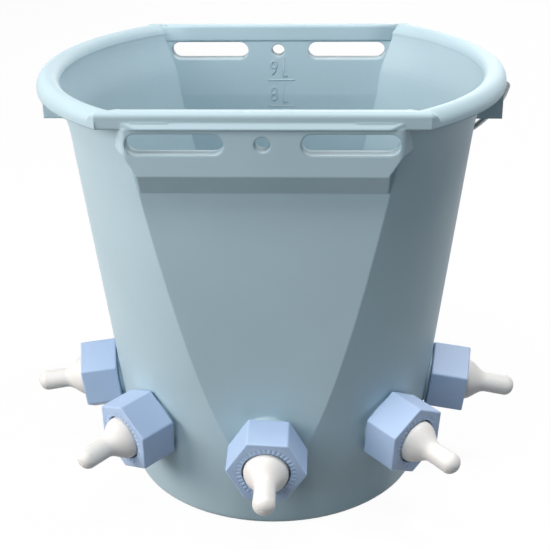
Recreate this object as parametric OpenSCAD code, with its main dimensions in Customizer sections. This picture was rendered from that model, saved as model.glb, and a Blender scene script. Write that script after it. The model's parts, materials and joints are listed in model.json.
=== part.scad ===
// Multi teat lamb feeder: a flat-sided bucket with five teats and a wire bail.
// Millimetres, +Z up, the front with the teats faces -Y, the origin is the centre of the underside.

/* [Bucket] */
// Height of the bucket from the underside to the top of the rim
bucket_h = 280; // [265:1:310]
// Outer radius of the conical wall at the bottom
base_r = 98.5; // [94:0.5:104]
// Flare of the conical wall from the vertical, in degrees
flare_deg = 6.9; // [6.4:0.1:7.4]
// Thickness of the wall
wall_t = 2.5; // [2:0.1:3.2]
// Thickness of the floor
floor_t = 4; // [3:0.1:5]
// Depth of the groove round the underside
groove_d = 1.2; // [0.8:0.1:2]
// Width of the groove round the underside
groove_w = 6; // [3:0.5:10]
// Radius of the rounded bottom edge
edge_r = 5; // [3:0.5:8]
// Distance from the middle to the outer face of a flat side, at the bottom
flat_y = 103; // [100:0.5:106]
// Draft of a flat side, in degrees
flat_draft = 0.3; // [0:0.1:1.2]

/* [Rim] */
// Radius of the rim's outline at the round ends
rim_r = 146; // [144:0.5:152]
// Width of the half round roll at the round ends
roll_w = 14; // [12:0.5:16]
// Height of the rim's skirt, from its lower edge to the top
rim_h = 9.5; // [9:0.5:12]
// Thickness of the rolled rim and its skirt
rim_t = 2.5; // [2:0.1:3]
// Height over which the wall flares out to meet the roll
lip_h = 30; // [20:1:36]
// Height of the closed corners between the wall, the roll and the straight rim
corner_h = 11; // [8:0.5:14]
// Distance that the straight rim's face lies behind the hanger pad's face
band_in = 1; // [0:0.1:2]
// Distance that the straight rim's lower edge flares out over the pad
flare_out = 2; // [1:0.1:3]
// Height of that flare
flare_h = 4; // [2:0.5:6]
// Radius of the straight rim's upper outer edge
band_edge_r = 3; // [2:0.1:4]
// Radius of the upper corners at the straight rim's ends
band_end_r = 8; // [3:0.5:9]
// Distance that the straight rim's ends reach over the roll
band_over = 5; // [2:0.5:8]

/* [Hanger pads] */
// Distance that a hanger pad stands out from the flat side
pad_out = 9.5; // [8:0.1:11]
// Width of a hanger pad at its slots
pad_w = 156; // [152:1:162]
// Width of a hanger pad below its slots
pad_low_w = 141; // [130:1:148]
// Distance that a pad's side slants outwards on its way back to the wall
pad_side = 6.5; // [4:0.5:9]
// Distance that the inner face runs outwards behind a pad, up to the rim
pad_in = 3; // [1:0.1:4]
// Height of the pad's upright face, from the top of the rim
pad_h = 36.6; // [32:0.2:44]
// Height of the slope under the pad
pad_slope_h = 13; // [8:0.2:18]
// Radius of the pad's upright edges
pad_edge_r = 4; // [2:0.5:6]
// Length of a hanging slot from end to end
slot_l = 54.8; // [40:0.2:60]
// Width of a hanging slot
slot_w = 12.4; // [8:0.2:14]
// Distance from the middle to the centre of a slot
slot_x = 48.7; // [42:0.1:51]
// Depth of the slots and the hole below the top of the rim
slot_drop = 18; // [16.5:0.5:22]
// Radius of the hole between the slots
hang_hole_r = 4.5; // [3:0.1:6]

/* [Bail] */
// Diameter of the bail's wire
wire_d = 3.8; // [3:0.1:4.4]
// Distance of the pivot below the rim's lower edge
pivot_drop = 4.5; // [4:0.1:8]
// Gap between the wire and the roll as the bail swings past it
bail_gap = 0.7; // [0.5:0.1:1.5]
// Straight part of each leg before the half circle
leg_l = 5; // [4:0.5:9]
// Lean of the resting bail from the vertical, in degrees
bail_rest = 49; // [48:0.5:60]
// Length of the hook inside the ear
hook_l = 9; // [5:0.5:11]
// Width of an ear along the rim
ear_w = 26; // [20:1:36]
// Depth of an ear below the rim's lower edge
ear_h = 23.5; // [18:0.5:30]
// Thickness of an ear's plates
ear_t = 3; // [2:0.2:4]
// Distance from an ear's outer face to the rim's outline
ear_back = 1.5; // [1:0.1:2]
// Least gap between a hook and the conical wall
hook_gap = 5.5; // [2:0.1:5.6]

/* [Stations] */
// Height of the teats' axes where they cross the wall
station_z = 64; // [58:1:80]
// Angle of the first pair of stations from the front, in degrees
station_a = 45; // [40:1:47]
// Angle of the rear pair of stations from the front, in degrees
station_b = 85; // [83:1:92]
// Distance that the middle station lies in front of the flat side
station_out = 2.9; // [2:0.1:4]
// Height of the outer seat above the wall
seat_out = 0.8; // [0.4:0.1:2]
// Depth of the inner seat behind the wall's outer face
seat_in = 8.4; // [8.4:0.1:10]
// Radius of the outer seat
seat_r = 19; // [18.5:0.1:21]
// Radius of the inner seat
seat_in_r = 22; // [21.5:0.5:24]

/* [Spigots] */
// Outer radius of the threaded stem
stem_r = 17.2; // [16.4:0.1:17.4]
// Radius of the stem's bore
stem_bore_r = 11; // [10:0.1:12]
// Distance from the wall to the stem's outer end
stem_out = 19; // [17:0.5:20]
// Radius of the flange inside the bucket
flange_r = 21; // [20:0.5:22]
// Thickness of the flange inside the bucket
flange_t = 3; // [2:0.1:4]
// Thickness of the gasket
gasket_t = 1.5; // [1:0.1:2.5]
// Gap between the stem and its hole in the wall
stem_gap = 0.3; // [0.2:0.05:0.6]
// Gap at each face of the gasket and other pieces that lie face to face
face_gap = 0.1; // [0.05:0.05:0.2]
// Gap between the stem and the nut's bore, where the thread lies
thread_gap = 0.8; // [0.5:0.1:1]

/* [Nuts] */
// Width of a nut across its flats
nut_af = 43.2; // [42:0.1:48]
// Depth of a nut
nut_l = 24.5; // [23:0.5:30]
// Gap between a tight nut and the outer seat
nut_gap = 0.3; // [0.2:0.1:0.8]
// Thickness of the nut's front plate
nut_plate = 3.7; // [2.5:0.1:4.2]
// Radius of the mouth in the front plate
mouth_r = 15; // [14.7:0.1:15.8]
// Number of fine ticks round the mouth
tick_n = 36; // [12:1:48]
// Length of a tick
tick_l = 3.2; // [2:0.1:4]
// Depth and width of a tick
tick_d = 0.5; // [0.3:0.1:0.8]

/* [Teats] */
// Radius of the teat's bulb
bulb_r = 13.8; // [13:0.1:14.4]
// Distance beyond the nut over which the bulb runs into the nipple
dome_l = 14.5; // [12:0.5:17]
// Thickness of the rubber in the bulb
teat_t = 2.4; // [1.8:0.1:3]
// Radius of the teat's base, held under the nut
teat_base_r = 16.8; // [16.2:0.1:17]
// Thickness of the teat's base
teat_base_t = 2.4; // [1.8:0.1:2.6]
// Radius of the nipple at its neck
neck_r = 6.5; // [5.5:0.1:7]
// Radius of the nipple near its tip
nipple_r = 6.8; // [6:0.1:8]
// Distance from the nut's face to the nipple's tip
teat_out = 33.5; // [30:0.5:40]
// Radius of the nipple's bore
nipple_bore_r = 2.6; // [1.8:0.1:3.2]
// Width of the slit in the tip
slit_w = 0.6; // [0.4:0.1:1]
// Length of the slit in the tip
slit_l = 5; // [4:0.5:7]
// Depth of the slit from the tip
slit_d = 5; // [3.5:0.5:7]
// Thickness of the rubber at the tip, which the slit goes through
tip_t = 3; // [2:0.1:4]

/* [Valves] */
// Radius of the valve's ball
ball_r = 6; // [5:0.1:6.3]
// Travel of the ball between its seat and its stops
ball_travel = 3.5; // [2:0.1:4.5]
// Gap round the ball, to its guide ribs, seat and stops
ball_gap = 0.2; // [0.15:0.05:0.4]
// Radius of the hole in the valve's seat
seat_hole_r = 4; // [3:0.1:4.6]
// Thickness of the plate that holds the seat
seat_plate = 3; // [2:0.1:4]
// Gap between the valve cage and the stem's bore
cage_gap = 0.15; // [0.1:0.05:0.3]
// Thickness of the cage's wall
cage_t = 2.2; // [1.8:0.1:2.6]
// Length of the cage from its seat to its lip
cage_l = 16.5; // [15:0.1:17]
// Thickness of the cage's lip
cage_lip_t = 2; // [1.5:0.1:2.5]
// Distance that the cage's lip stands out from its body
cage_lip_w = 2.2; // [1.5:0.1:2.5]
// Width of a guide rib
rib_w = 2; // [1.5:0.1:2.5]

/* [Hidden] */
$fn = 96;
eps = 0.01;
over = 1;

// Turn of each nut and place of each station, from the left rear round the front
station_deg = [-station_b, -station_a, 0, station_a, station_b];
nut_deg = [-28, 21, -3, -28, -28];

// Outer radius of the conical wall, and outer face of a flat side, at a height
function wall_r(z) = base_r + z * tan(flare_deg);
function flat_at(z) = flat_y + z * tan(flat_draft);
// Points of an arc, for the outlines
function arc_pts(c, r, a0, a1, n) =
    [for (i = [0:n]) let (a = a0 + (a1 - a0) * i / n) c + r * [cos(a), sin(a)]];
// Points of the wall where it flares out to meet the roll, from a height up, drawn in by an inset
function lip_pts(inset, z0, n) =
    [for (i = [0:n]) let (z = z0 + (roll_z - z0) * i / n) [wall_r(z) + lip_out * lip_share(z) - inset, z]];
function lip_share(z) = (1 - cos(180 * (z - lip_z) / lip_h)) / 2;

floor_z = floor_t;
rim_z = bucket_h - rim_h;
roll_r = roll_w / 2;
roll_z = bucket_h - roll_r;
roll_c = rim_r - roll_r;
roll_in = rim_r - roll_w;
lip_z = roll_z - lip_h;
lip_out = roll_in + wall_t - wall_r(roll_z);
corner_z = roll_z - corner_h;
pad_y = flat_at(bucket_h) + pad_out;
pad_z = bucket_h - pad_h;
pad_low_z = pad_z - pad_slope_h;
band_y = pad_y - band_in;
band_x = sqrt(pow(rim_r, 2) - pow(band_y, 2));
top_in_y = flat_at(bucket_h) - wall_t + pad_in;
slot_z = bucket_h - slot_drop;

wire_r = wire_d / 2;
pivot_z = rim_z - pivot_drop;
ear_x = max(rim_r - ear_back, wall_r(pivot_z) + hook_gap + wire_d + 1.4 + ear_t);
ear_z = rim_z - ear_h;
leg_x = max(rim_r, ear_x + ear_back) + wire_r + bail_gap;
bend_r = leg_x - ear_x - 0.3;
hook_x = ear_x - ear_t - wire_r - 1.4;
hook_bend_r = wire_r + 1.1;
pivot_hole_r = wire_r + 0.4;

stem_in = -seat_in - gasket_t - 2 * face_gap;
seat_bore_r = stem_r + stem_gap;
nut_in = seat_out + nut_gap;
nut_out = nut_in + nut_l;
nut_bore_r = stem_r + thread_gap;
plate_in = nut_out - nut_plate;
base_in = plate_in - 2 * face_gap - teat_base_t;
stem_end = min(stem_out, base_in - face_gap);

lip_w0 = stem_end - cage_lip_t;
cage_r = stem_bore_r - cage_gap;
chamber_r = cage_r - cage_t;
stop_r = ball_r * 0.72;
seat_w = lip_w0 - cage_l;
ball_seated = seat_w + sqrt(pow(ball_r + ball_gap, 2) - pow(seat_hole_r, 2));
ball_w = ball_seated + ball_travel;
stop_w = ball_w + sqrt(pow(ball_r + ball_gap, 2) - pow(stop_r, 2));

// Distance of a station from the bucket's axis: on the conical wall, or in front of the flat side
function station_r(i) = station_deg[i] == 0 ? flat_at(station_z) + station_out : wall_r(station_z);

// Frame of a station: Z runs outwards square to the conical wall, Y upwards
module at_station(i) {
    rotate([0, 0, station_deg[i]])
        translate([0, -station_r(i), station_z])
            rotate([90 + flare_deg, 0, 0])
                children();
}

// Extrudes an outline drawn in Y and Z along X, over both halves
module along_x(half) {
    rotate([90, 0, 90]) translate([0, 0, -half]) linear_extrude(2 * half) children();
}

// Slab between the two flat sides, shifted outwards by grow
module slab(grow, z0, z1) {
    along_x(rim_r + over) polygon([
        [-flat_at(z0) - grow, z0], [flat_at(z0) + grow, z0],
        [flat_at(z1) + grow, z1], [-flat_at(z1) - grow, z1]]);
}

// Solid form of the wall up to the roll, with its rounded bottom edge, drawn in by an inset
module wall_form(inset) {
    intersection() {
        rotate_extrude() polygon(concat(
            [[0, 0]],
            arc_pts([wall_r(edge_r) - edge_r - inset, edge_r], edge_r, -90, 0, 5),
            lip_pts(inset, lip_z, 8),
            [[0, roll_z]]));
        slab(-inset, -over, roll_z + over);
    }
}

// Hollow of the bucket, up through the rim
module hollow_form() {
    low_r = wall_r(floor_z) - wall_t;
    intersection() {
        rotate_extrude() polygon(concat(
            [[0, floor_z]],
            arc_pts([low_r - edge_r, floor_z + edge_r], edge_r, -90, 0, 4),
            lip_pts(wall_t, lip_z, 8),
            [[roll_in, bucket_h + over], [0, bucket_h + over]]));
        along_x(rim_r + over) for (s = [-1, 1]) polygon([
            [0, floor_z - over], [s * (flat_at(floor_z) - wall_t), floor_z - over],
            [s * (flat_at(pad_low_z) - wall_t), pad_low_z],
            [s * top_in_y, bucket_h - 1.6], [s * (top_in_y + 0.5), bucket_h - 0.5],
            [s * (top_in_y + 1.6), bucket_h + eps], [s * (top_in_y + 1.6), bucket_h + over],
            [0, bucket_h + over]]);
    }
}

// Ring that joins the wall to the roll at the round ends and closes the corners
module lip_ring() {
    intersection() {
        rotate_extrude() polygon(concat(
            [[roll_in - 3 * wall_t, corner_z]],
            lip_pts(0, corner_z, 3),
            [[roll_in + rim_t, roll_z + 1.5], [roll_in - 3 * wall_t, roll_z + 1.5]]));
        slab(pad_out - 0.5, corner_z - over, bucket_h);
    }
}

// Plan of the part that the straight rim takes, up to a mitre with the roll; grow draws the mitre outwards
module mitre(grow) {
    in_x = sqrt(pow(roll_in, 2) - pow(top_in_y, 2));
    for (y = [-1, 1]) polygon([
        [-in_x - grow, y * top_in_y], [-band_x - grow, y * band_y], [-band_x - grow, y * rim_r],
        [band_x + grow, y * rim_r], [band_x + grow, y * band_y], [in_x + grow, y * top_in_y],
        [in_x + grow, 0], [-in_x - grow, 0]]);
}

// Half round roll over the round ends, open underneath, up to the mitre
module roll() {
    difference() {
        rotate_extrude() {
            difference() {
                intersection() {
                    translate([roll_c, roll_z]) circle(roll_r);
                    translate([roll_in - over, roll_z]) square([roll_w + 2 * over, roll_w]);
                }
                translate([roll_c, roll_z]) circle(roll_r - rim_t);
            }
            translate([rim_r - rim_t, rim_z]) square([rim_t, roll_z - rim_z]);
        }
        translate([0, 0, rim_z - over]) linear_extrude(rim_h + 2 * over) mitre(-0.5);
    }
}

// Outline of the straight rim in X and Z, with rounded upper corners at its ends
module band_front() {
    half = band_x + band_over;
    translate([-half, rim_z]) square([2 * half, rim_h - band_end_r]);
    translate([-half + band_end_r, rim_z]) square([2 * (half - band_end_r), rim_h]);
    for (s = [-1, 1]) translate([s * (half - band_end_r), bucket_h - band_end_r]) circle(band_end_r);
}

// Straight rim over the pads, hollow underneath beside them; its ends reach over the roll's outer half
module band() {
    top_y = band_y - band_edge_r;
    difference() {
        intersection() {
            rotate_extrude() {
                translate([0, rim_z]) square([rim_r, rim_h - band_edge_r]);
                translate([0, rim_z]) square([rim_r - band_edge_r, rim_h]);
                translate([rim_r - band_edge_r, bucket_h - band_edge_r]) circle(band_edge_r);
            }
            along_x(rim_r) {
                translate([-band_y, rim_z]) square([2 * band_y, rim_h - band_edge_r]);
                translate([-top_y, rim_z]) square([2 * top_y, rim_h]);
                for (s = [-1, 1]) translate([s * top_y, bucket_h - band_edge_r]) circle(band_edge_r);
            }
            rotate([90, 0, 0]) translate([0, 0, -rim_r]) linear_extrude(2 * rim_r) band_front();
            translate([0, 0, rim_z]) linear_extrude(rim_h) {
                mitre(0);
                difference() {
                    circle(rim_r);
                    circle(roll_c + 1);
                }
            }
        }
        intersection() {
            translate([0, 0, rim_z - over]) cylinder(h = rim_h - rim_t + over, r = rim_r - rim_t);
            along_x(rim_r) translate([-band_y + rim_t, rim_z - over])
                square([2 * (band_y - rim_t), rim_h - rim_t + over]);
        }
    }
}

// Flared lower edge of the straight rim over each pad, which runs out beside the pad
module flare() {
    tip_y = pad_y + flare_out - band_in;
    intersection() {
        along_x(pad_w / 2) for (s = [-1, 1]) polygon([
            [s * (band_y - rim_t), rim_z], [s * tip_y, rim_z], [s * tip_y, rim_z + 0.8],
            [s * (band_y - eps), rim_z + flare_h], [s * (band_y - rim_t), rim_z + flare_h]]);
        linear_extrude(bucket_h) for (s = [-1, 1]) polygon([
            [-pad_w / 2, 0], [-pad_w / 2, s * band_y], [4 * flare_out - pad_w / 2, s * (tip_y + eps)],
            [pad_w / 2 - 4 * flare_out, s * (tip_y + eps)], [pad_w / 2, s * band_y], [pad_w / 2, 0]]);
    }
}

// Plan of the pads in X and Y: faces with rounded upright edges and sides that slant back to the wall
module pad_plan() {
    depth = pad_out + 6;
    slant = norm([pad_side, depth]);
    half = pad_w / 2;
    cx = half - pad_edge_r * (slant - pad_side) / depth;
    cy = pad_y - pad_edge_r;
    touch = [cx + pad_edge_r * depth / slant, cy + pad_edge_r * pad_side / slant];
    for (y = [-1, 1], x = [-1, 1]) {
        polygon([[0, 0], [0, y * pad_y], [x * cx, y * pad_y], [x * touch[0], y * touch[1]],
            [x * (half + pad_side), y * (pad_y - depth)], [x * (half + pad_side), 0]]);
        translate([x * cx, y * cy]) circle(pad_edge_r);
    }
}

// Thick hanger pads on both flats, narrower below the slots, with a slope under them
module pads() {
    side_z = slot_z - slot_w / 2;
    low_half = pad_low_w / 2;
    intersection() {
        along_x(pad_w) for (s = [-1, 1]) polygon([
            [0, pad_low_z], [s * flat_at(pad_low_z), pad_low_z], [s * pad_y, pad_z],
            [s * pad_y, rim_z + 0.5], [0, rim_z + 0.5]]);
        linear_extrude(bucket_h) pad_plan();
        rotate([90, 0, 0]) translate([0, 0, -rim_r]) linear_extrude(2 * rim_r) polygon([
            [-low_half, pad_low_z - over], [low_half, pad_low_z - over], [low_half, pad_z + 1],
            [pad_w / 2, side_z], [pad_w, side_z], [pad_w, bucket_h], [-pad_w, bucket_h],
            [-pad_w, side_z], [-pad_w / 2, side_z], [-low_half, pad_z + 1]]);
    }
}

// Ears under the roll: a box open below, whose outer plate takes the bail's hook
module ear(s) {
    in_x = wall_r(ear_z) - wall_t - over;
    mirror([s < 0 ? 1 : 0, 0, 0]) difference() {
        translate([in_x, -ear_w / 2, ear_z]) cube([ear_x - in_x, ear_w, rim_z - ear_z + 2]);
        translate([in_x - over, -ear_w / 2 + ear_t, ear_z - over])
            cube([ear_x - ear_t - in_x + over, ear_w - 2 * ear_t, rim_z - ear_z + 4]);
    }
}

// Seats of a station on the wall, square to the teat's axis: a low ring outside and a wider one inside
module seat(i) {
    at_station(i) translate([0, 0, -seat_in + 1]) cylinder(h = seat_in - 1 + seat_out, r = seat_r);
    intersection() {
        at_station(i) translate([0, 0, -seat_in]) cylinder(h = 2 * seat_in, r = seat_in_r);
        wall_form(wall_t / 2);
    }
}

// Stadium shaped hanging slot, through a pad along Y
module slot_cut(x) {
    translate([x, pad_y + over, slot_z]) rotate([90, 0, 0]) linear_extrude(2 * (pad_y + over)) {
        square([slot_l - slot_w, slot_w], center = true);
        for (s = [-1, 1]) translate([s * (slot_l - slot_w) / 2, 0]) circle(slot_w / 2);
    }
}

module bucket() {
    color([0.66, 0.74, 0.77]) difference() {
        union() {
            difference() {
                union() {
                    wall_form(0);
                    lip_ring();
                    band();
                    flare();
                    pads();
                    for (s = [-1, 1]) ear(s);
                }
                hollow_form();
            }
            roll();
            for (i = [0:4]) seat(i);
        }
        translate([0, 0, -over]) difference() {
            cylinder(h = groove_d + over, r = base_r - edge_r - 6);
            translate([0, 0, -over]) cylinder(h = groove_d + 3 * over, r = base_r - edge_r - 6 - groove_w);
        }
        for (x = [-slot_x, slot_x]) slot_cut(x);
        translate([0, 0, slot_z]) rotate([90, 0, 0])
            cylinder(h = 2 * (pad_y + over), r = hang_hole_r, center = true);
        translate([0, 0, pivot_z]) rotate([0, 90, 0]) for (s = [-1, 1])
            translate([0, 0, s * ear_x]) cylinder(h = 2 * ear_t + 2, r = pivot_hole_r, center = true);
        for (i = [0:4]) at_station(i) translate([0, 0, -seat_in - over])
            cylinder(h = seat_in + seat_out + 2 * over, r = seat_bore_r);
    }
}

// Quarter or half turn of wire in the XY plane about the origin, from angle a0 over a
module wire_turn(r, a0, a) {
    rotate([0, 0, a0]) rotate_extrude(angle = a) translate([r, 0]) circle(wire_r);
}

// Straight wire from the origin along X
module wire_run(l) {
    rotate([0, 90, 0]) cylinder(h = l, r = wire_r);
}

// The bail drawn in the XY plane with its pivot along X: legs, half circle, and a hook at each end
module bail() {
    color([0.62, 0.66, 0.67])
    translate([0, 0, pivot_z]) rotate([-90 + bail_rest, 0, 0]) {
        translate([0, leg_l, 0]) wire_turn(leg_x, 0, 180);
        for (m = [0, 1]) mirror([m, 0, 0]) {
            translate([leg_x, bend_r, 0]) rotate([0, 0, 90]) wire_run(leg_l - bend_r);
            translate([leg_x - bend_r, bend_r, 0]) wire_turn(bend_r, -90, 90);
            translate([hook_x + hook_bend_r, 0, 0]) wire_run(leg_x - bend_r - hook_x - hook_bend_r);
            translate([hook_x + hook_bend_r, hook_bend_r, 0]) wire_turn(hook_bend_r, -180, 90);
            translate([hook_x, hook_bend_r, 0]) rotate([0, 0, 90]) wire_run(hook_l - hook_bend_r);
        }
    }
}

// Hexagonal union nut with a threaded bore, a mouth and fine ticks round it
module nut(i) {
    color([0.68, 0.78, 0.90]) at_station(i) rotate([0, 0, nut_deg[i]]) difference() {
        translate([0, 0, nut_in]) cylinder(h = nut_l, r = nut_af / sqrt(3), $fn = 6);
        translate([0, 0, nut_in - over]) cylinder(h = nut_l - nut_plate + over, r = nut_bore_r);
        translate([0, 0, nut_in]) cylinder(h = nut_l + over, r = mouth_r);
        for (k = [0:tick_n - 1]) rotate([0, 0, k * 360 / tick_n])
            translate([mouth_r - over, -tick_d / 2, nut_out - tick_d]) cube([tick_l + over, tick_d, tick_d + over]);
    }
}

// Rubber teat: a base under the nut, a bulb through its mouth that runs into a nipple with a slit tip
module teat(i) {
    in_r = bulb_r - teat_t;
    tip_w = nut_out + teat_out;
    tip_h = nipple_r - 0.8;
    // Share of the bulb's radius left at a share k of the run into the nipple
    function share(k) = (1 + cos(180 * k)) / 2;
    color([0.96, 0.95, 0.93]) at_station(i) difference() {
        rotate_extrude() polygon(concat(
            [[0, base_in], [teat_base_r, base_in], [teat_base_r, base_in + teat_base_t]],
            [[bulb_r, base_in + teat_base_t]],
            [for (k = [0:0.1:1]) [neck_r + (bulb_r - neck_r) * share(k), nut_out + dome_l * k]],
            [for (a = [0:15:75]) [nipple_r * cos(a), tip_w - tip_h + tip_h * sin(a)]],
            [[0, tip_w]]));
        rotate_extrude() polygon(concat(
            [[0, base_in - over], [in_r, base_in - over]],
            [for (k = [0:0.125:1])
                [nipple_bore_r + (in_r - nipple_bore_r) * share(k), nut_out + (dome_l - teat_t) * k]],
            [[nipple_bore_r, tip_w - tip_t], [0, tip_w - tip_t]]));
        translate([-slit_l / 2, -slit_w / 2, tip_w - slit_d]) cube([slit_l, slit_w, slit_d + over]);
    }
}

// Threaded stem through the wall, with a flange inside the bucket
module spigot(i) {
    color([0.80, 0.84, 0.86]) at_station(i) rotate_extrude() polygon([
        [stem_bore_r, stem_in - flange_t], [flange_r - 0.8, stem_in - flange_t],
        [flange_r, stem_in - flange_t + 0.8],
        [flange_r, stem_in], [stem_r, stem_in], [stem_r, stem_end - 1], [stem_r - 1, stem_end],
        [cage_r + cage_lip_w + cage_gap, stem_end], [cage_r + cage_lip_w + cage_gap, lip_w0 - face_gap],
        [stem_bore_r, lip_w0 - face_gap]]);
}

// Rubber ring between the flange and the inner seat
module gasket(i) {
    color([0.25, 0.26, 0.27]) at_station(i) translate([0, 0, -seat_in - gasket_t - face_gap]) difference() {
        cylinder(h = gasket_t, r = flange_r - 0.5);
        translate([0, 0, -over]) cylinder(h = gasket_t + 2 * over, r = seat_bore_r);
    }
}

// Valve cage: a seat on the bucket's side, and three guide ribs that end in stops on the teat's side
module valve_cage(i) {
    color([0.93, 0.94, 0.93]) at_station(i) {
        rotate_extrude() polygon([
            [seat_hole_r, seat_w - seat_plate], [cage_r, seat_w - seat_plate], [cage_r, lip_w0],
            [cage_r + cage_lip_w, lip_w0], [cage_r + cage_lip_w, stem_end - eps], [chamber_r, stem_end - eps],
            [chamber_r, seat_w], [seat_hole_r, seat_w]]);
        for (a = [90:120:330]) rotate([0, 0, a]) {
            translate([ball_r + ball_gap, -rib_w / 2, seat_w - eps])
                cube([chamber_r - ball_r - ball_gap + 1, rib_w, stem_end - eps - seat_w]);
            translate([stop_r, -rib_w / 2, stop_w])
                cube([chamber_r - stop_r + 1, rib_w, stem_end - eps - stop_w]);
        }
    }
}

module valve_ball(i) {
    color([0.85, 0.40, 0.25]) at_station(i) translate([0, 0, ball_w]) sphere(ball_r);
}

bucket();
bail();
nut(0);  // nut_1
nut(1);  // nut_2
nut(2);  // nut_3
nut(3);  // nut_4
nut(4);  // nut_5
teat(0);  // teat_1
teat(1);  // teat_2
teat(2);  // teat_3
teat(3);  // teat_4
teat(4);  // teat_5
spigot(0);  // spigot_1
spigot(1);  // spigot_2
spigot(2);  // spigot_3
spigot(3);  // spigot_4
spigot(4);  // spigot_5
gasket(0);  // gasket_1
gasket(1);  // gasket_2
gasket(2);  // gasket_3
gasket(3);  // gasket_4
gasket(4);  // gasket_5
valve_cage(0);  // valve_cage_1
valve_cage(1);  // valve_cage_2
valve_cage(2);  // valve_cage_3
valve_cage(3);  // valve_cage_4
valve_cage(4);  // valve_cage_5
valve_ball(0);  // valve_ball_1
valve_ball(1);  // valve_ball_2
valve_ball(2);  // valve_ball_3
valve_ball(3);  // valve_ball_4
valve_ball(4);  // valve_ball_5
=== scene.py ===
"""Looks of the multi teat lamb feeder: satin plastic, ivory rubber and galvanised wire in a white studio."""
import json
import math

import bpy
import numpy as np
from mathutils import Matrix


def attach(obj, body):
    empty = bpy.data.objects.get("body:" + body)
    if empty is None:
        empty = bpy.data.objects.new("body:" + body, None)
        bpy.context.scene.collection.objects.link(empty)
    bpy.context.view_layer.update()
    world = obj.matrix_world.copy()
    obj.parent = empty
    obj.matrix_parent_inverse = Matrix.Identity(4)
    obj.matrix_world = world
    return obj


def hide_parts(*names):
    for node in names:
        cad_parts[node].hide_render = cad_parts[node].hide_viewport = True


MM = 0.001


# Values and node trees


class Value:
    """A socket of a node tree, or what an expression on sockets gives."""

    def __init__(self, tree, socket):
        self.tree = tree
        self.socket = socket

    def math(self, operation, other):
        return self.tree.node("ShaderNodeMath", {"operation": operation}, [self, other])

    def __add__(self, other):
        return self.math("ADD", other)

    def __radd__(self, other):
        return self.math("ADD", other)

    def __mul__(self, other):
        return self.math("MULTIPLY", other)

    def __rmul__(self, other):
        return self.math("MULTIPLY", other)

    def smooth(self, low, high):
        """0 below low, 1 above high, and a smooth step between."""
        step = {"interpolation_type": "SMOOTHSTEP"}
        return self.tree.node("ShaderNodeMapRange", step, {0: self, 1: low, 2: high})


class Tree:
    """A node tree that is written as Python expressions."""

    def __init__(self, tree):
        self.nodes = tree.nodes
        self.links = tree.links
        self.nodes.clear()

    def node(self, kind, settings=None, sockets=(), out=0):
        """Adds a node, sets its settings and then the values or links of its sockets."""
        node = self.nodes.new(kind)
        for key, value in (settings or {}).items():
            setattr(node, key, value)
        pairs = sockets.items() if isinstance(sockets, dict) else enumerate(sockets)
        for key, value in pairs:
            if isinstance(value, Value):
                self.links.new(value.socket, node.inputs[key])
            elif value is not None:
                node.inputs[key].default_value = value
        return Value(self, node.outputs[out])

    def seen(self):
        """1 for rays of the camera and of reflections, 0 for the other rays."""
        camera_ray = self.node("ShaderNodeLightPath", out="Is Camera Ray")
        return camera_ray.math("MAXIMUM", self.node("ShaderNodeLightPath", out="Is Glossy Ray"))

    def end(self, kind, shader):
        """Adds the output node and links the shader to it."""
        self.links.new(shader.socket, self.nodes.new(kind).inputs[0])


class Surface(Tree):
    """A material whose node tree is written as Python expressions."""

    def __init__(self, name):
        self.material = bpy.data.materials.new(name)
        self.material.use_nodes = True
        super().__init__(self.material.node_tree)
        self.point = self.node("ShaderNodeTexCoord", out="Object")

    def noise(self, scale, detail, point=None):
        sockets = {"Vector": point or self.point, "Scale": scale, "Detail": detail}
        return self.node("ShaderNodeTexNoise", {}, sockets)

    def mix(self, mask, a, b):
        """Colour a where the mask is 0 and b where it is 1."""
        return self.node("ShaderNodeMix", {"data_type": "RGBA"}, {0: mask, 6: a, 7: b}, out=2)

    def soft_edges(self, radius):
        """The surface's normal, turned as if its edges were rounded."""
        return self.node("ShaderNodeBevel", {"samples": 6}, {"Radius": radius})

    def bump(self, height, strength, distance, normal=None):
        sockets = {"Height": height, "Strength": strength, "Distance": distance, "Normal": normal}
        return self.node("ShaderNodeBump", {}, sockets)

    def stretched(self, scale):
        """The point with each axis scaled, for a grain that runs along one axis."""
        return self.node("ShaderNodeMapping", {}, {"Vector": self.point, "Scale": scale})

    def finish(self, **inputs):
        """Adds the plastic, rubber or metal itself, with values or links by the names of its sockets."""
        sockets = {key.replace("_", " "): value for key, value in inputs.items()}
        self.end("ShaderNodeOutputMaterial", self.node("ShaderNodeBsdfPrincipled", {}, sockets))
        return self.material


def rgb(r, g, b):
    """An 8 bit screen colour as linear numbers."""
    def linear(v):
        """The screen's own curve, undone."""
        v = v / 255
        return v / 12.92 if v <= 0.04045 else ((v + 0.055) / 1.055) ** 2.4
    return (linear(r), linear(g), linear(b), 1.0)


# Materials


def satin_polyethylene():
    """Pale grey-blue moulded plastic: faint clouds from the melt, and a fine orange peel in the gloss."""
    s = Surface("satin_polyethylene")
    clouds = s.noise(9.0, 4.0)
    flow = s.noise(60.0, 3.0, point=s.stretched((1.0, 1.0, 0.18)))
    colour = s.mix(clouds.smooth(0.3, 0.7), rgb(177, 201, 210), rgb(183, 207, 216))
    peel = s.noise(420.0, 2.0)
    rough = 0.40 + 0.08 * flow + 0.05 * peel
    normal = s.bump(peel + 1.5 * s.noise(70.0, 2.0), 0.10, 0.0006, normal=s.soft_edges(1.6 * MM))
    return s.finish(Base_Color=colour, Roughness=rough, Normal=normal, Specular_IOR_Level=0.32)


def periwinkle_plastic():
    s = Surface("periwinkle_plastic")
    clouds = s.noise(24.0, 3.0)
    colour = s.mix(clouds.smooth(0.3, 0.7), rgb(174, 198, 230), rgb(180, 204, 235))
    peel = s.noise(700.0, 2.0)
    return s.finish(Base_Color=colour, Roughness=0.42 + 0.08 * peel, Normal=s.bump(peel, 0.12, 0.0004))


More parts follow.
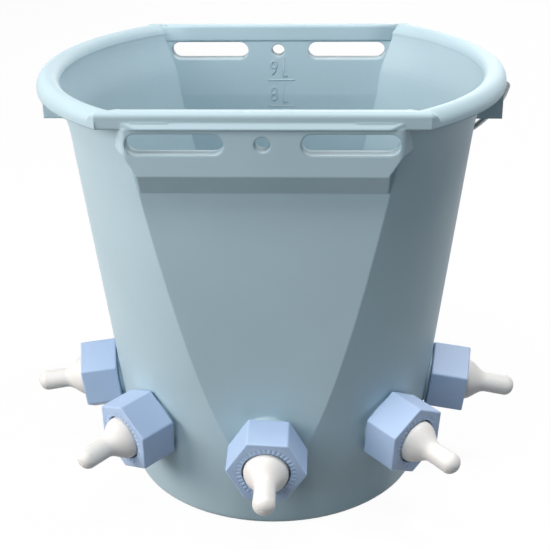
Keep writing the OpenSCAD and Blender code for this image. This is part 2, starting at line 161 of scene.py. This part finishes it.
def ivory_rubber():
    s = Surface("ivory_rubber")
    clouds = s.noise(40.0, 3.0)
    colour = s.mix(clouds.smooth(0.35, 0.7), rgb(232, 230, 226), rgb(239, 237, 233))
    grain = s.noise(900.0, 2.0)
    return s.finish(Base_Color=colour, Roughness=0.48 + 0.06 * grain, Normal=s.bump(grain, 0.10, 0.0003))


def galvanised_wire():
    s = Surface("galvanised_wire")
    spangle = s.noise(260.0, 3.0)
    drawn = s.noise(1400.0, 2.0)
    colour = s.mix(spangle.smooth(0.3, 0.7), rgb(112, 120, 123), rgb(150, 158, 160))
    rough = 0.24 + 0.14 * spangle
    return s.finish(Base_Color=colour, Metallic=1.0, Roughness=rough, Normal=s.bump(drawn, 0.15, 0.0002))


def spigot_plastic():
    s = Surface("spigot_plastic")
    clouds = s.noise(30.0, 3.0)
    colour = s.mix(clouds.smooth(0.3, 0.7), rgb(198, 208, 214), rgb(206, 215, 220))
    peel = s.noise(600.0, 2.0)
    return s.finish(Base_Color=colour, Roughness=0.40 + 0.10 * peel, Normal=s.bump(peel, 0.1, 0.0004))


def black_rubber():
    s = Surface("black_rubber")
    grain = s.noise(500.0, 3.0)
    colour = s.mix(grain.smooth(0.3, 0.7), rgb(38, 39, 41), rgb(50, 51, 53))
    return s.finish(Base_Color=colour, Roughness=0.6 + 0.12 * grain, Normal=s.bump(grain, 0.2, 0.0004))


def valve_plastic():
    s = Surface("valve_plastic")
    clouds = s.noise(50.0, 2.0)
    colour = s.mix(clouds.smooth(0.3, 0.7), rgb(234, 236, 234), rgb(242, 243, 241))
    return s.finish(Base_Color=colour, Roughness=0.35 + 0.08 * clouds)


def red_rubber():
    s = Surface("red_rubber")
    grain = s.noise(600.0, 2.0)
    colour = s.mix(grain.smooth(0.3, 0.7), rgb(176, 62, 44), rgb(190, 72, 52))
    return s.finish(Base_Color=colour, Roughness=0.45 + 0.1 * grain, Normal=s.bump(grain, 0.1, 0.0003))


def paint(obj, material):
    obj.data.materials.clear()
    obj.data.materials.append(material)


# Shapes worked out on a grid


def skin(name, points, poles=False):
    """A closed mesh over a grid of points (rows, columns, 3), in millimetres. Columns run round and join up.
    Rows join up too, as on a ring, or with poles the first and the last row shrink to one point each."""
    rows, columns = points.shape[:2]
    index = np.arange(rows * columns).reshape(rows, columns)
    low, high = (index[1:-2], index[2:-1]) if poles else (index, np.roll(index, -1, axis=0))
    quads = np.stack([low, np.roll(low, -1, axis=1), np.roll(high, -1, axis=1), high], axis=-1).reshape(-1, 4)
    tips = np.empty((0, 3), int)
    if poles:
        first, last = index[1], index[-2]
        start = np.stack([np.full(columns, index[0, 0]), np.roll(first, -1), first], axis=-1)
        end = np.stack([np.full(columns, index[-1, 0]), last, np.roll(last, -1)], axis=-1)
        tips = np.concatenate([start, end])
    flat = points.reshape(-1, 3) * MM
    a, b, c = flat[quads[:, 0]], flat[quads[:, 1]], flat[quads[:, 2]]
    if np.einsum("ij,ij->i", a, np.cross(b, c)).sum() < 0:
        quads, tips = quads[:, ::-1], tips[:, ::-1]
    used = np.unique(np.concatenate([quads.ravel(), tips.ravel()]))
    place = np.zeros(len(flat), int)
    place[used] = np.arange(len(used))
    mesh = bpy.data.meshes.new(name)
    mesh.from_pydata(flat[used].tolist(), [], place[quads].tolist() + place[tips].tolist())
    mesh.polygons.foreach_set("use_smooth", np.ones(len(mesh.polygons), bool))
    mesh.update()
    obj = bpy.data.objects.new(name, mesh)
    bpy.context.collection.objects.link(obj)
    return obj


def turn_of(count):
    """Angles round the axis, as one row."""
    return np.linspace(0, 2 * np.pi, count, endpoint=False)[None, :]


def arc(centre, radius, start, end, steps):
    """Points (radius from the axis, height) of an arc from angle start to end, in degrees."""
    t = np.radians(np.linspace(start, end, steps))
    return [(centre[0] + radius * math.cos(a), centre[1] + radius * math.sin(a)) for a in t]


def smooth_step(x, low, high):
    """0 below low, 1 above high, and a smooth step between."""
    t = np.clip((x - low) / (high - low), 0, 1)
    return t * t * (3 - 2 * t)


def raised_cosine(k):
    """1 at 0, 0 at 1, and a half wave of the cosine between."""
    return (1 + np.cos(np.pi * k)) / 2


class Station:
    """Place of one teat: its origin on the bucket and its axes, from the joint that the nut turns on."""

    def __init__(self, joints, number):
        joint = next(j for j in joints if j["name"] == f"nut_turn_{number}")
        self.number = number
        self.origin = np.array(joint["pos_m"]) / MM
        self.out = np.array(joint["axis"])
        up = np.array([0, 0, 1]) - self.out[2] * self.out
        self.up = up / np.linalg.norm(up)
        self.side = np.cross(self.up, self.out)

    def put(self, x, y, w):
        """Points in millimetres from coordinates across, up and outwards."""
        return self.origin + x[..., None] * self.side + y[..., None] * self.up + w[..., None] * self.out


# Nuts, teats and spigots: millimetres, with places outwards from the bucket's wall, and turns in degrees

NUT_FLATS, NUT_CORNER_R, NUT_EDGE_R = 43.2, 1.7, 1.0
NUT_IN, NUT_OUT = 1.1, 25.6
NUT_BORE_R, NUT_MOUTH_R, NUT_PLATE = 18.0, 15.0, 3.7
NUT_TURN = (-28, 21, -3, -28, -28)
TICKS, TICK_D, TICK_FROM_R, TICK_TO_R = 36, 0.45, 15.4, 18.4
FACE_FROM_R, FACE_TO_R, FACE_STEP = 18.9, 15.5, 0.15
STEM_R, STEM_BORE_R, STEM_IN, STEM_END = 17.2, 11.0, -10.1, 19.0
STEM_LIP_R, STEM_LIP_T = 13.2, 2.1
FLANGE_R, FLANGE_T = 21.0, 3.0
THREAD_PITCH, THREAD_H, THREAD_FROM, THREAD_STEP = 4.0, 0.55, 1.5, 0.25
BASE_R, BASE_IN, BASE_T = 16.8, 19.3, 2.4
BULB_R, BULB_RUN, RUBBER_T = 13.8, 14.5, 2.4
NECK_R, NIPPLE_R, NIPPLE_BORE_R = 6.5, 6.8, 2.6
TEAT_OUT, TIP_T = 33.5, 3.0
SLIT_L, SLIT_W, SLIT_D = 5.2, 0.8, 1.7


def hexagon(angle, apothem, corner):
    """Distance from the axis to a hexagon whose corners lie at 0, 60, ... degrees and are rounded.
    Along a flat it is the apothem over the cosine of the angle from the flat's middle. Within a corner it is
    the far crossing of the ray with a circle of the corner's radius."""
    off = (angle % (np.pi / 3)) - np.pi / 6
    reach = (apothem - corner) / math.cos(math.pi / 6)
    from_corner = np.pi / 6 - np.abs(off)
    flat = apothem / np.cos(off)
    inside = np.maximum(corner**2 - (reach * np.sin(from_corner)) ** 2, 0)
    rounded = reach * np.cos(from_corner) + np.sqrt(inside)
    on_flat = np.abs(apothem * np.tan(off)) <= (apothem - corner) * math.tan(math.pi / 6)
    return np.where(on_flat, flat, rounded)


def union_nut(station):
    """Each ring of the grid is a rounded hexagon or a circle at one height. The hexagon draws in at its edges
    by a quarter circle. The ticks sink the rings round the mouth by a cubed raised cosine of the angle."""
    apothem, corner, edge = NUT_FLATS / 2, NUT_CORNER_R, NUT_EDGE_R
    back = [("circle", NUT_BORE_R + 0.4, NUT_IN), ("circle", NUT_BORE_R + 1.2, NUT_IN)]
    drawn = [(edge * (1 - math.sin(t)), edge * (1 - math.cos(t))) for t in np.linspace(0, math.pi / 2, 6)]
    heel = [("hexagon", size, NUT_IN + w) for size, w in drawn]
    side = [("hexagon", 0.0, w) for w in (NUT_IN + edge + 0.4, (NUT_IN + NUT_OUT) / 2, NUT_OUT - edge - 0.4)]
    toe = [("hexagon", size, NUT_OUT - w) for size, w in drawn[::-1]]
    face = [("hexagon", edge + 0.5, NUT_OUT)]
    face += [("circle", r, NUT_OUT) for r in np.arange(FACE_FROM_R, FACE_TO_R, -FACE_STEP)]
    mouth = [("circle", r, w) for r, w in arc((NUT_MOUTH_R + 0.5, NUT_OUT - 0.5), 0.5, 90, 180, 5)]
    plate = NUT_OUT - NUT_PLATE
    inner = [("circle", NUT_MOUTH_R, plate + 0.3), ("circle", NUT_MOUTH_R + 0.3, plate)]
    inner += [("circle", NUT_BORE_R - 0.3, plate), ("circle", NUT_BORE_R, plate - 0.3)]
    inner += [("circle", NUT_BORE_R, NUT_IN + 0.6)]
    angle = turn_of(TICKS * 12)
    turned = angle + math.radians(NUT_TURN[station.number - 1])
    tick = (0.5 + 0.5 * np.cos(TICKS * angle)) ** 3
    rows = []
    for kind, size, w in back + heel + side + toe + face + mouth + inner:
        if kind == "hexagon":
            radius = hexagon(angle, apothem - size, max(corner - size, 0.2))
        else:
            radius = size + 0 * angle
        ticked = kind == "circle" and TICK_FROM_R < size < TICK_TO_R and w == NUT_OUT
        sink = TICK_D * tick * ticked
        rows.append(station.put(radius * np.cos(turned), radius * np.sin(turned), w - sink)[0])
    return skin(f"union_nut_{station.number}", np.array(rows))


def nipple_form(station):
    """A profile turned about the teat's axis. The bulb runs into the nipple as a raised cosine of the
    distance, the tip is part of an ellipse, and the slit is a narrow dent in it."""
    tip = NUT_OUT + TEAT_OUT
    tip_h = NIPPLE_R - 0.8
    in_r = BULB_R - RUBBER_T
    bore = [(0.0, tip - TIP_T), (NIPPLE_BORE_R * 0.6, tip - TIP_T), (NIPPLE_BORE_R, tip - TIP_T - 0.8)]
    hollow = [(NIPPLE_BORE_R + (in_r - NIPPLE_BORE_R) * raised_cosine(k), NUT_OUT + (BULB_RUN - RUBBER_T) * k)
              for k in np.linspace(1, 0, 13)]
    base = [(in_r, BASE_IN + 0.4), *arc((in_r + 0.4, BASE_IN + 0.4), 0.4, 180, 270, 3),
            *arc((BASE_R - 0.5, BASE_IN + 0.5), 0.5, -90, 0, 4),
            *arc((BASE_R - 0.5, BASE_IN + BASE_T - 0.5), 0.5, 0, 90, 4),
            (BULB_R + 0.6, BASE_IN + BASE_T), (BULB_R + 0.1, BASE_IN + BASE_T + 0.5)]
    bulb = [(NECK_R + (BULB_R - NECK_R) * raised_cosine(k), NUT_OUT + BULB_RUN * k)
            for k in np.linspace(0, 1, 32)]
    run = TEAT_OUT - tip_h - BULB_RUN
    shaft = [(NECK_R + (NIPPLE_R - NECK_R) * float(smooth_step(k, 0, 1)), NUT_OUT + BULB_RUN + run * k)
             for k in np.linspace(0.08, 1, 10)]
    cap = [(NIPPLE_R * math.cos(t), tip - tip_h + tip_h * math.sin(t))
           for t in np.linspace(0.08, math.pi / 2, 60)]
    profile = np.array(bore + hollow + base + bulb + shaft + cap)
    angle = turn_of(180)
    radius, w = profile[:, :1], profile[:, 1:]
    x, y = radius * np.cos(angle), radius * np.sin(angle)
    outer = w > tip - TIP_T + 0.4
    in_length = 1 - smooth_step(np.abs(x), SLIT_L / 2 - 0.5, SLIT_L / 2)
    in_width = 1 - smooth_step(np.abs(y), SLIT_W / 2 - 0.3, SLIT_W / 2)
    w = w - SLIT_D * in_length * in_width * outer
    return skin(f"soft_teat_{station.number}", station.put(x, y, w), poles=True)


def threaded_spigot(station):
    """A profile turned about the axis into a closed ring. On the stem a ridge climbs one pitch in each turn:
    it stands out by the squared raised cosine of the height in pitches less the share of a turn, and it
    fades at both ends."""
    flange_in = STEM_IN - FLANGE_T
    lip_r, lip_w = STEM_LIP_R, STEM_END - STEM_LIP_T
    inner = [(STEM_BORE_R, w) for w in (lip_w - 0.3, 0.0, flange_in + 0.6)]
    flange = [*arc((STEM_BORE_R + 0.5, flange_in + 0.5), 0.5, 180, 270, 4),
              *arc((FLANGE_R - 0.9, flange_in + 0.9), 0.9, -90, 0, 6),
              *arc((FLANGE_R - 0.3, STEM_IN - 0.3), 0.3, 0, 90, 3),
              (STEM_R + 0.5, STEM_IN), (STEM_R, STEM_IN + 0.5)]
    stem = [(STEM_R, w) for w in np.arange(-8.0, STEM_END - 1.05, THREAD_STEP)]
    end = [*arc((STEM_R - 0.9, STEM_END - 0.9), 0.9, 10, 90, 5), (lip_r + 0.3, STEM_END),
           (lip_r, STEM_END - 0.3), (lip_r, lip_w + 0.05), (STEM_BORE_R + 0.3, lip_w)]
    profile = np.array(inner + flange + stem + end)
    angle = turn_of(144)
    radius, w = profile[:, :1], profile[:, 1:]
    climb = w / THREAD_PITCH - angle / (2 * np.pi)
    ridge = (0.5 + 0.5 * np.cos(2 * np.pi * climb)) ** 2
    start = smooth_step(w, THREAD_FROM, THREAD_FROM + 2.0)
    stop = smooth_step(w, STEM_END - 3.0, STEM_END - 1.2)
    on_stem = radius > STEM_R - 0.01
    radius = radius + THREAD_H * ridge * start * (1 - stop) * on_stem
    x, y = radius * np.cos(angle), radius * np.sin(angle)
    return skin(f"threaded_spigot_{station.number}", station.put(x, y, w + 0 * angle))


# Inner face of the bucket's flats, and the litre scale on the back one: millimetres, a litre in cubic ones

WALL_R, WALL_FLARE, WALL_T = 98.5, math.tan(math.radians(6.9)), 2.5
FLAT_Y, FLAT_DRAFT = 103.0, math.tan(math.radians(0.3))
FLOOR_Z, PAD_LOW_Z, RIM_Z, PAD_IN = 4.0, 230.4, 278.4, 3.06
LITRE, LITRES_TO_Z = 1e6, 262.0
TOP_LITRES, TOP_MARK = 9, 241.0
LINE_X, LINE_HALF_W, LINE_RELIEF, LINE_SUNK = (-8.0, 12.0), 0.5, 0.28, 0.05
DIGIT_X, DIGIT_Z = (-5.8, -0.7), (3.6, 14.2)
LETTER_X, LETTER_Z = (3.4, 6.4), (2.2, 15.6)
FIGURE_SUNK, FIGURE_T = 0.3, 0.55
LINING_HALF, LINING_LOW_Z, LINING_TOP_Z, LINING_BACK_Y = 83.0, 268.7, 279.97, 109.97
LINING_PROUD, LINING_EDGE_R = 0.15, 1.6


def inner_face(z):
    """Distance of the flat inner face from the middle at a height: it runs outwards behind the pad."""
    run = np.clip((z - PAD_LOW_Z) / (RIM_Z - PAD_LOW_Z), 0, 1) * (PAD_IN - (RIM_Z - PAD_LOW_Z) * FLAT_DRAFT)
    return FLAT_Y + z * FLAT_DRAFT - WALL_T + run


def litre_heights():
    """Heights at which the bucket holds 1, 2, ... litres. Its section is a circle cut by two straight sides.
    The area is twice the sum of two products: half the width between the sides times half a side's length,
    and the square of the radius times the angle whose sine is that half width over the radius.
    The top mark lies where the photograph has it, a little lower."""
    z = np.linspace(FLOOR_Z, LITRES_TO_Z, 400)
    r = WALL_R + z * WALL_FLARE - WALL_T
    h = np.minimum(FLAT_Y + z * FLAT_DRAFT - WALL_T, r)
    area = 2 * (h * np.sqrt(r**2 - h**2) + r**2 * np.arcsin(h / r))
    litres = np.concatenate([[0], np.cumsum((area[1:] + area[:-1]) / 2 * np.diff(z))]) / LITRE
    marks = np.interp(np.arange(1, TOP_LITRES + 1), litres, z)
    marks[-1] = TOP_MARK
    return marks


def on_inner_face(x, relief, z):
    """Points on the back's inner face, standing out of it towards the front by the relief."""
    return np.stack([x, inner_face(z) - relief, z], axis=-1)


def scale_line(z):
    """A low ridge: its section is an ellipse, which shrinks to nothing at both ends of the line."""
    along = np.cos(np.linspace(np.pi, 0, 25))[:, None]
    angle = turn_of(16)
    middle, half = (LINE_X[0] + LINE_X[1]) / 2, (LINE_X[1] - LINE_X[0]) / 2
    full = np.minimum(1, np.sqrt(np.maximum(1 - np.abs(along) ** 12, 0)))
    x = middle + half * along + 0 * angle
    relief = LINE_RELIEF * full * np.sin(angle) - LINE_SUNK
    points = on_inner_face(x, relief, z + LINE_HALF_W * full * np.cos(angle))
    return skin(f"scale_line_{z:.0f}", points, poles=True)


def scale_figure(text, x_range, z_range):
    """A raised figure: the letter's own outline, stretched to fill a box on the inner face."""
    curve = bpy.data.curves.new("scale_figure_" + text, "FONT")
    curve.body = text
    curve.extrude = 0.5
    curve.resolution_u = 4
    made = bpy.data.objects.new(curve.name, curve)
    bpy.context.collection.objects.link(made)
    bpy.context.view_layer.update()
    mesh = bpy.data.meshes.new_from_object(made)
    bpy.data.objects.remove(made)
    co = np.empty(len(mesh.vertices) * 3)
    mesh.vertices.foreach_get("co", co)
    co = co.reshape(-1, 3)
    low, high = co.min(0), co.max(0)
    share = (co - low) / (high - low)
    x = x_range[0] + (x_range[1] - x_range[0]) * share[:, 0]
    z = z_range[0] + (z_range[1] - z_range[0]) * share[:, 1]
    laid = on_inner_face(x, FIGURE_T * share[:, 2] - FIGURE_SUNK, z) * MM
    mesh.vertices.foreach_set("co", laid.ravel())
    mesh.update()
    obj = bpy.data.objects.new(curve.name, mesh)
    bpy.context.collection.objects.link(obj)
    return obj


def litre_scale():
    pieces = []
    for litre, z in enumerate(litre_heights(), 1):
        pieces.append(scale_line(z))
        pieces.append(scale_figure(str(litre), DIGIT_X, (z + DIGIT_Z[0], z + DIGIT_Z[1])))
        pieces.append(scale_figure("L", LETTER_X, (z + LETTER_Z[0], z + LETTER_Z[1])))
    return pieces


def rim_lining(side):
    """A strip that carries the flat inner face up to the top edge. Its section is a closed loop: the inner
    face, drawn in by a smooth step of the height, a quarter circle at the top, and a flat back in the rim."""
    low, top, turn = LINING_LOW_Z, LINING_TOP_Z, LINING_EDGE_R
    z = np.linspace(low, top - turn, 12)
    y = inner_face(z) - LINING_PROUD * smooth_step(z, low, low + 1.6)
    face = list(zip(y, z))
    corner = arc((y[-1] + turn, top - turn), turn, 180, 90, 7)[1:]
    back = [(LINING_BACK_Y, top), (LINING_BACK_Y, low + 2.0), (inner_face(low) + 0.4, low)]
    section = np.array(face + corner + back)
    half = LINING_HALF
    along = np.concatenate([[-half], np.linspace(-half, half, 9), [half]])[:, None]
    middle = section.mean(axis=0)
    ends = np.ones_like(along)
    ends[0], ends[-1] = 0, 0
    y = middle[0] + (section[:, 0] - middle[0])[None, :] * ends
    z = middle[1] + (section[:, 1] - middle[1])[None, :] * ends
    away = 1 if side == "back" else -1
    return skin(f"rim_lining_{side}", np.stack([along + 0 * y, away * y, z], axis=-1), poles=True)


# Studio: places in metres, and the camera's turns in radians

CAMERA_PLACE = (36.5 * MM, -739.9 * MM, 465.2 * MM)
CAMERA_TURN, CAMERA_TILT, CAMERA_ROLL = math.radians(2.777), math.radians(24.147), math.radians(-0.740)
PICTURE_PX, FOCAL_PX, SENSOR_MM = 550, 1196.122, 36.0
AIM = (0, 0, 0.15)
FLOOR_HALF = 4.0
WORLD_LIGHT = 0.03
PLAIN_WHITE = 0.96


def camera():
    """The photograph's camera, fitted to the bucket's outlines and the nuts."""
    place, turn, tilt, roll = CAMERA_PLACE, CAMERA_TURN, CAMERA_TILT, CAMERA_ROLL
    forward = np.array([-math.sin(turn) * math.cos(tilt), math.cos(turn) * math.cos(tilt), -math.sin(tilt)])
    right = np.array([math.cos(turn), math.sin(turn), 0.0])
    up = np.cross(right, forward)
    right, up = right * math.cos(roll) + up * math.sin(roll), up * math.cos(roll) - right * math.sin(roll)
    data = bpy.data.cameras.new("camera")
    data.sensor_width = SENSOR_MM
    data.lens = SENSOR_MM * FOCAL_PX / PICTURE_PX
    data.clip_start = 0.01
    obj = bpy.data.objects.new("camera", data)
    rows = [[right[i], up[i], -forward[i], place[i]] for i in range(3)]
    obj.matrix_world = Matrix(rows + [[0, 0, 0, 1]])
    bpy.context.collection.objects.link(obj)
    bpy.context.scene.camera = obj


def facing(way):
    """Rows of a rotation whose -Z runs along way. The way isn't upright."""
    back = -way / np.linalg.norm(way)
    side = np.cross((0.0, 0.0, 1.0), back)
    side /= np.linalg.norm(side)
    up = np.cross(back, side)
    return [[side[i], up[i], back[i]] for i in range(3)]


def lamp(name, place, size, power, colour=(1.0, 1.0, 1.0)):
    """A rectangular lamp that faces the aim."""
    data = bpy.data.lights.new(name, "AREA")
    data.shape = "RECTANGLE"
    data.size, data.size_y = size
    data.energy = power
    data.color = colour
    obj = bpy.data.objects.new(name, data)
    obj.location = place
    obj.rotation_euler = Matrix(facing(np.array(AIM) - np.array(place))).to_euler()
    bpy.context.collection.objects.link(obj)


def white_world():
    """White to the camera and in reflections, and a weaker even light on the object."""
    world = bpy.data.worlds.new("white")
    world.use_nodes = True
    bpy.context.scene.world = world
    t = Tree(world.node_tree)
    strength = t.node("ShaderNodeMapRange", {}, {"Value": t.seen(), "To Min": WORLD_LIGHT, "To Max": 1.0})
    back = t.node("ShaderNodeBackground", {}, {"Color": (1, 1, 1, 1), "Strength": strength})
    t.end("ShaderNodeOutputWorld", back)


def white_floor():
    """White to the camera, with a faint shadow: most of what the camera sees is plain white, the rest is lit.
    To the light that bounces off it the floor is grey, so that it doesn't light the bucket from below."""
    s = Surface("white_floor")
    seen = s.seen()
    colour = s.mix(seen, rgb(110, 110, 110), rgb(250, 250, 250))
    lit = s.node("ShaderNodeBsdfDiffuse", {}, {"Color": colour})
    plain = s.node("ShaderNodeEmission", {}, {"Color": (1, 1, 1, 1), "Strength": 1.0})
    both = s.node("ShaderNodeMixShader", {}, {0: seen * PLAIN_WHITE, 1: lit, 2: plain})
    s.end("ShaderNodeOutputMaterial", both)
    mesh = bpy.data.meshes.new("floor")
    e = FLOOR_HALF
    mesh.from_pydata([(-e, -e, 0), (e, -e, 0), (e, e, 0), (-e, e, 0)], [], [(0, 1, 2, 3)])
    floor = bpy.data.objects.new("floor", mesh)
    bpy.context.collection.objects.link(floor)
    paint(floor, s.material)


def studio():
    bpy.context.scene.view_settings.view_transform = "Standard"
    white_world()
    white_floor()
    warm, cool = (1.05, 1.0, 0.98), (0.85, 1.0, 1.08)
    lamp("left", (-1.1, -0.36, 0.6), (0.8, 0.6), 11.5, (1.08, 1.0, 0.97))
    lamp("front", (-0.7, -1.3, 0.8), (1.0, 0.8), 5.5, cool)
    lamp("right", (1.3, -0.3, 0.6), (1.0, 0.8), 1.8, (0.7, 1.0, 1.25))
    lamp("back", (0.3, 1.5, 0.8), (1.2, 1.0), 7.0)
    lamp("over_right", (0.6, 0.0, 1.7), (0.4, 0.4), 14.5, warm)
    lamp("over_front", (-0.1, -0.6, 1.7), (0.4, 0.4), 9.5, warm)


# The part, dressed

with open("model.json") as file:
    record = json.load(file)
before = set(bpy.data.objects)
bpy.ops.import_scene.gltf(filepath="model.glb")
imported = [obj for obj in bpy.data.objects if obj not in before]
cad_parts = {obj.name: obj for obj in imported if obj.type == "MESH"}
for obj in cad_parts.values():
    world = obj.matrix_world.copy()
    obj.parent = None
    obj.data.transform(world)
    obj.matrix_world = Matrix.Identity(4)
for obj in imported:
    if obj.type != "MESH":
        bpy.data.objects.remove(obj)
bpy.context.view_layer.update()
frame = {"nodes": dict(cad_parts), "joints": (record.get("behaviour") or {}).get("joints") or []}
camera()
studio()
LOOKS = {
    "bucket": satin_polyethylene(),
    "bail": galvanised_wire(),
    "nut": periwinkle_plastic(),
    "teat": ivory_rubber(),
    "spigot": spigot_plastic(),
    "gasket": black_rubber(),
    "valve_cage": valve_plastic(),
    "valve_ball": red_rubber(),
}
for name, obj in frame["nodes"].items():
    kind = name.rstrip("_12345")
    paint(obj, LOOKS[kind])

for number in range(1, 6):
    station = Station(frame["joints"], number)
    for kind, body, piece in (("nut", f"nut_{number}", union_nut(station)),
                              ("teat", f"teat_{number}", nipple_form(station)),
                              ("spigot", "bucket", threaded_spigot(station))):
        paint(piece, LOOKS[kind])
        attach(piece, body)
        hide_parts(f"{kind}_{number}")
for piece in [*litre_scale(), rim_lining("front"), rim_lining("back")]:
    paint(piece, LOOKS["bucket"])
    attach(piece, "bucket")
